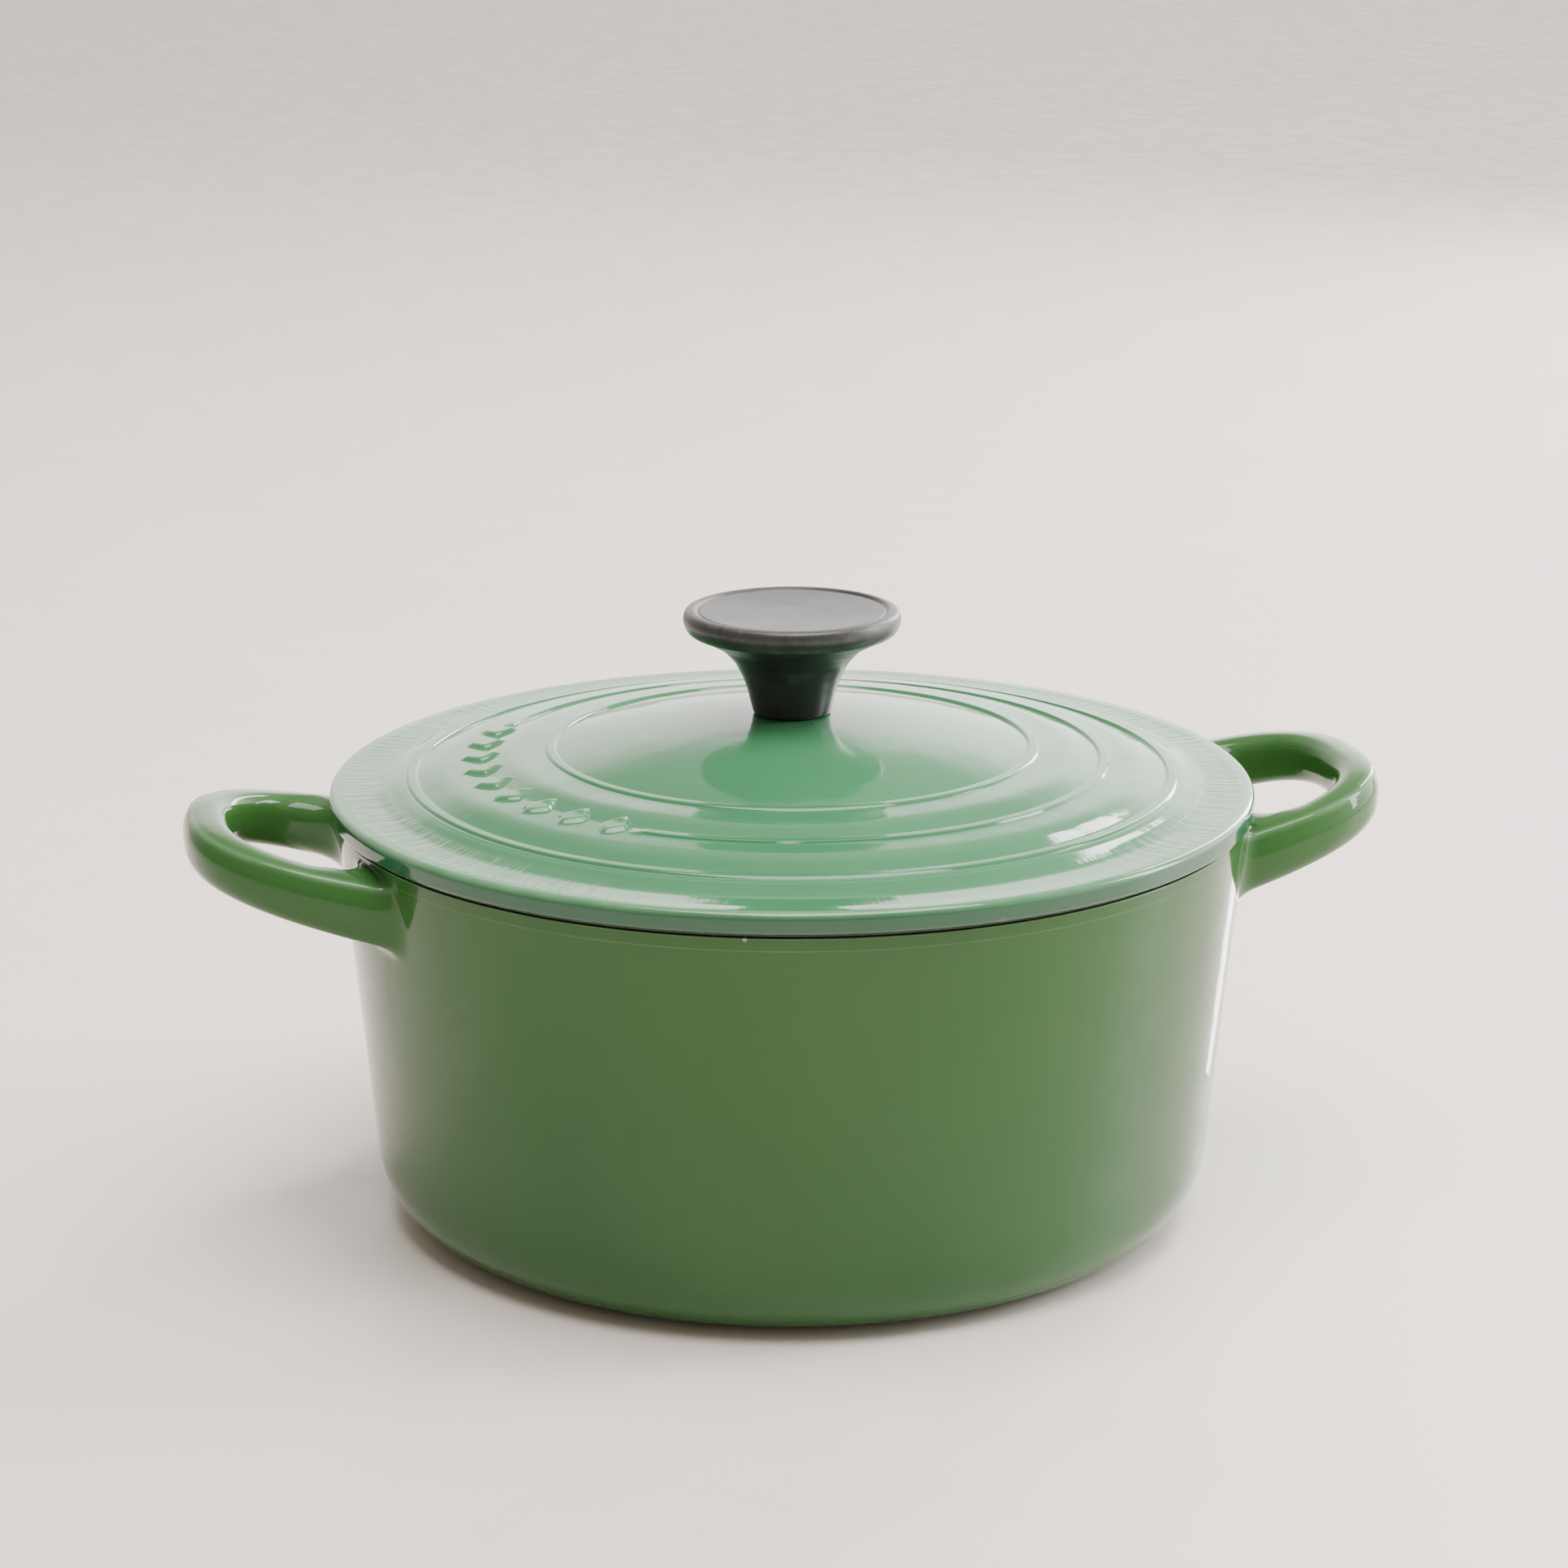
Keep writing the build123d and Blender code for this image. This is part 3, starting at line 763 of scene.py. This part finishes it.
def black_coat():
    s = Shader("black_ground_coat", IOR=1.5)
    grains = s.noise(900, 3, 0.7)
    rust = s.step(s.noise(160, 4, 0.7), 0.55, 0.75, 0.0, 0.5)
    s.set("Base Color", s.mix(rust, (0.016, 0.014, 0.012), (0.075, 0.042, 0.024)))
    s.set("Roughness", s.step(grains, 0.3, 0.7, 0.5, 0.8))
    s.bump((grains, 0.6, 0.0002), (s.noise(220, 3), 0.4, 0.0004))
    return s.material


def phenolic():
    """Moulded phenolic: satin black, greyer where hands and washing have dulled its rim."""
    s = Shader("phenolic", IOR=1.56)
    dust = s.noise(60, 4, 0.6)
    colour = s.mix(s.step(dust, 0.35, 0.75), (0.017, 0.017, 0.018), (0.034, 0.033, 0.033))
    worn = s.math("MULTIPLY", s.worn(), s.step(s.noise(240, 4, 0.7), 0.4, 0.7))
    colour = s.mix(s.math("MULTIPLY", worn, 0.4), colour, (0.12, 0.115, 0.11))
    grained = s.vector(s.math("MULTIPLY", s.x, 2200), s.math("MULTIPLY", s.y, 160))
    scratch = s.noise(1, 2, 0.5, vector=grained)
    top = s.step(s.height, 0.1505, 0.1525)
    fine = s.noise(1500, 2)
    rough = s.math("ADD", s.step(dust, 0.3, 0.8, 0.27, 0.36), s.math("MULTIPLY", top, 0.09))
    s.set("Base Color", colour)
    s.set("Roughness", rough)
    s.bump((fine, 0.35, 0.00006), (scratch, 0.12, 0.00005), (s.noise(90, 3), 0.25, 0.0003))
    return s.material


def turned_metal(name, colour, shade):
    """Metal turned on a lathe: fine rings about the axis, a little tarnish."""
    s = Shader(name, Metallic=1.0)
    rings = s.vector(s.math("MULTIPLY", s.radius, 5200), s.math("MULTIPLY", s.height, 3500))
    turning = s.noise(1, 2, 0.6, vector=rings)
    tarnish = s.step(s.noise(160, 4, 0.65), 0.45, 0.75)
    s.set("Base Color", s.mix(s.math("MULTIPLY", tarnish, 0.6), colour, shade))
    s.set("Roughness", s.step(turning, 0.3, 0.7, 0.22, 0.4))
    s.bump((turning, 0.35, 0.00005))
    return s.material


def floor_material():
    s = Shader("pale_floor")
    tone = s.step(s.noise(3, 3), 0.35, 0.65)
    s.set("Base Color", s.mix(tone, (0.86, 0.765, 0.72), (0.88, 0.785, 0.74)))
    s.set("Roughness", s.step(s.noise(40, 4), 0.3, 0.7, 0.42, 0.55))
    s.bump((s.noise(300, 3), 0.08, 0.0003))
    return s.material


# ---- assembly ----
def dress(piece, material, body=None, nodes=()):
    piece.data.materials.clear()
    piece.data.materials.append(material)
    if body:
        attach(piece, body)
    if nodes:
        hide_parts(*nodes)


pot = pot_iron()
cream, black = cream_enamel(), black_coat()
dress(pot, green_enamel("pot_green_enamel", False), "pot", ["pot_casting"])
dress(pot_lining(), cream, "pot", ["pot_lining"])
dress(rim_coat(), black, "pot", ["pot_rim_coat"])
dress(lid_iron(), green_enamel("lid_green_enamel", True), "lid", ["lid_casting"])
dress(lid_lining(), cream, "lid", ["lid_lining"])
dress(seat_coat(), black, "lid", ["lid_seat_coat"])
dress(knob_body(), phenolic(), "knob_unit", ["knob"])
steel = turned_metal("stainless_steel", (0.62, 0.61, 0.59), (0.45, 0.43, 0.40))
dress(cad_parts["knob_screw"], steel)
dress(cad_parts["knob_washer"], steel)
dress(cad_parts["knob_insert"], turned_metal("turned_brass", (0.74, 0.56, 0.27), (0.48, 0.33, 0.15)))

# ---- floor, light and camera ----
HALF_FLOOR = 9.0  # metres
floor_corners = [(x * HALF_FLOOR, y * HALF_FLOOR, 0) for x, y in ((-1, -1), (1, -1), (1, 1), (-1, 1))]
floor_mesh = bpy.data.meshes.new("floor")
floor_mesh.from_pydata(floor_corners, [], [(0, 1, 2, 3)])
floor = bpy.data.objects.new("floor", floor_mesh)
bpy.context.scene.collection.objects.link(floor)
floor.data.materials.append(floor_material())

VIEW_TURN = math.radians(12.3)  # how far the handles' line is turned from square to the camera
CAMERA_DISTANCE, CAMERA_HEIGHT = 0.961, 0.3748  # metres, from the pot's axis and above the floor
CAMERA_TILT = math.radians(15.47)
CAMERA_PAN = -0.0021  # radians, away from the pot's axis
LENS, SENSOR = 90.0, 36.0  # millimetres


def world_light():
    """Pale surroundings: brightest behind the object to the right, dim and warm on the camera's left."""
    world = bpy.data.worlds.new("studio")
    bpy.context.scene.world = world
    world.use_nodes = True
    tree = world.node_tree

    def node(kind, *inputs, **settings):
        made = tree.nodes.new(kind)
        for key, value in settings.items():
            setattr(made, key, value)
        for socket, value in zip(made.inputs, inputs):
            if isinstance(value, bpy.types.NodeSocket):
                tree.links.new(value, socket)
            else:
                socket.default_value = value
        return made

    place = node("ShaderNodeTexCoord").outputs["Generated"]
    brightest = VIEW_TURN + math.radians(44)
    direction = (math.sin(brightest), math.cos(brightest), 0.2)
    towards = node("ShaderNodeVectorMath", place, direction, operation="DOT_PRODUCT").outputs["Value"]
    share = node("ShaderNodeMapRange", towards, -0.8, 1.0, 0.0, 1.0).outputs[0]
    curve = node("ShaderNodeMath", share, 3.0, operation="POWER").outputs[0]
    upward = node("ShaderNodeSeparateXYZ", place).outputs["Z"]
    spread = (upward, 0.32, 0.56, 1.0, 0.20)
    fade = node("ShaderNodeMapRange", *spread, interpolation_type="SMOOTHSTEP").outputs[0]
    glow = node("ShaderNodeMath", curve, fade, operation="MULTIPLY").outputs[0]
    strength = node("ShaderNodeMath", glow, 5.0, 0.40, operation="MULTIPLY_ADD").outputs[0]
    tint = node("ShaderNodeMix", data_type="RGBA")
    tree.links.new(share, tint.inputs["Factor"])
    tint.inputs[6].default_value = (1.0, 0.88, 0.72, 1)
    tint.inputs[7].default_value = (0.97, 0.96, 0.94, 1)
    background = tree.nodes["Background"]
    tree.links.new(tint.outputs[2], background.inputs["Color"])
    tree.links.new(strength, background.inputs["Strength"])


def soft_light(name, place, size, watts, colour, aim=(0, 0, 0.07), receivers=()):
    """Rectangular lamp, not seen by the camera, that lights only the receivers if there are any."""
    light = bpy.data.lights.new(name, "AREA")
    light.shape = "RECTANGLE"
    light.size, light.size_y = size
    light.energy, light.color = watts, colour
    lamp = bpy.data.objects.new(name, light)
    bpy.context.scene.collection.objects.link(lamp)
    lamp.location = place
    to_aim = [a - p for a, p in zip(aim, place)]
    flat = math.hypot(to_aim[0], to_aim[1])
    lamp.rotation_euler = (math.pi / 2 + math.atan2(to_aim[2], flat), 0, math.atan2(-to_aim[0], to_aim[1]))
    lamp.visible_camera = False
    if receivers:
        lit = bpy.data.collections.new(f"{name}_receivers")
        for piece in receivers:
            lit.objects.link(piece)
        lamp.light_linking.receiver_collection = lit


def camera():
    view = bpy.data.cameras.new("camera")
    view.lens, view.sensor_width = LENS, SENSOR
    eye = bpy.data.objects.new("camera", view)
    bpy.context.scene.collection.objects.link(eye)
    back_x, back_y = math.sin(VIEW_TURN), math.cos(VIEW_TURN)
    eye.location = (-CAMERA_DISTANCE * back_x, -CAMERA_DISTANCE * back_y, CAMERA_HEIGHT)
    eye.rotation_euler = (math.pi / 2 - CAMERA_TILT, 0, -(VIEW_TURN + CAMERA_PAN))
    bpy.context.scene.camera = eye


world_light()
soft_light("window_back_right", (1.25, 1.33, 0.85), (0.35, 1.3), 30, (1.0, 0.97, 0.93))
soft_light("window_right", (1.7, -0.1, 0.9), (0.5, 1.0), 30, (0.93, 0.97, 1.0))
soft_light("overhead", (0.1, -0.3, 1.9), (1.4, 1.4), 62, (1.0, 0.97, 0.95))
# a narrow glint down the right side of the wall
glint_at, glint_size, glint_aim = (0.163, 0.030, 0.012), (0.014, 0.10), (0.101, -0.047, 0.012)
soft_light("streak", glint_at, glint_size, 0.035, (1.0, 0.97, 0.94), glint_aim, [pot])
camera()
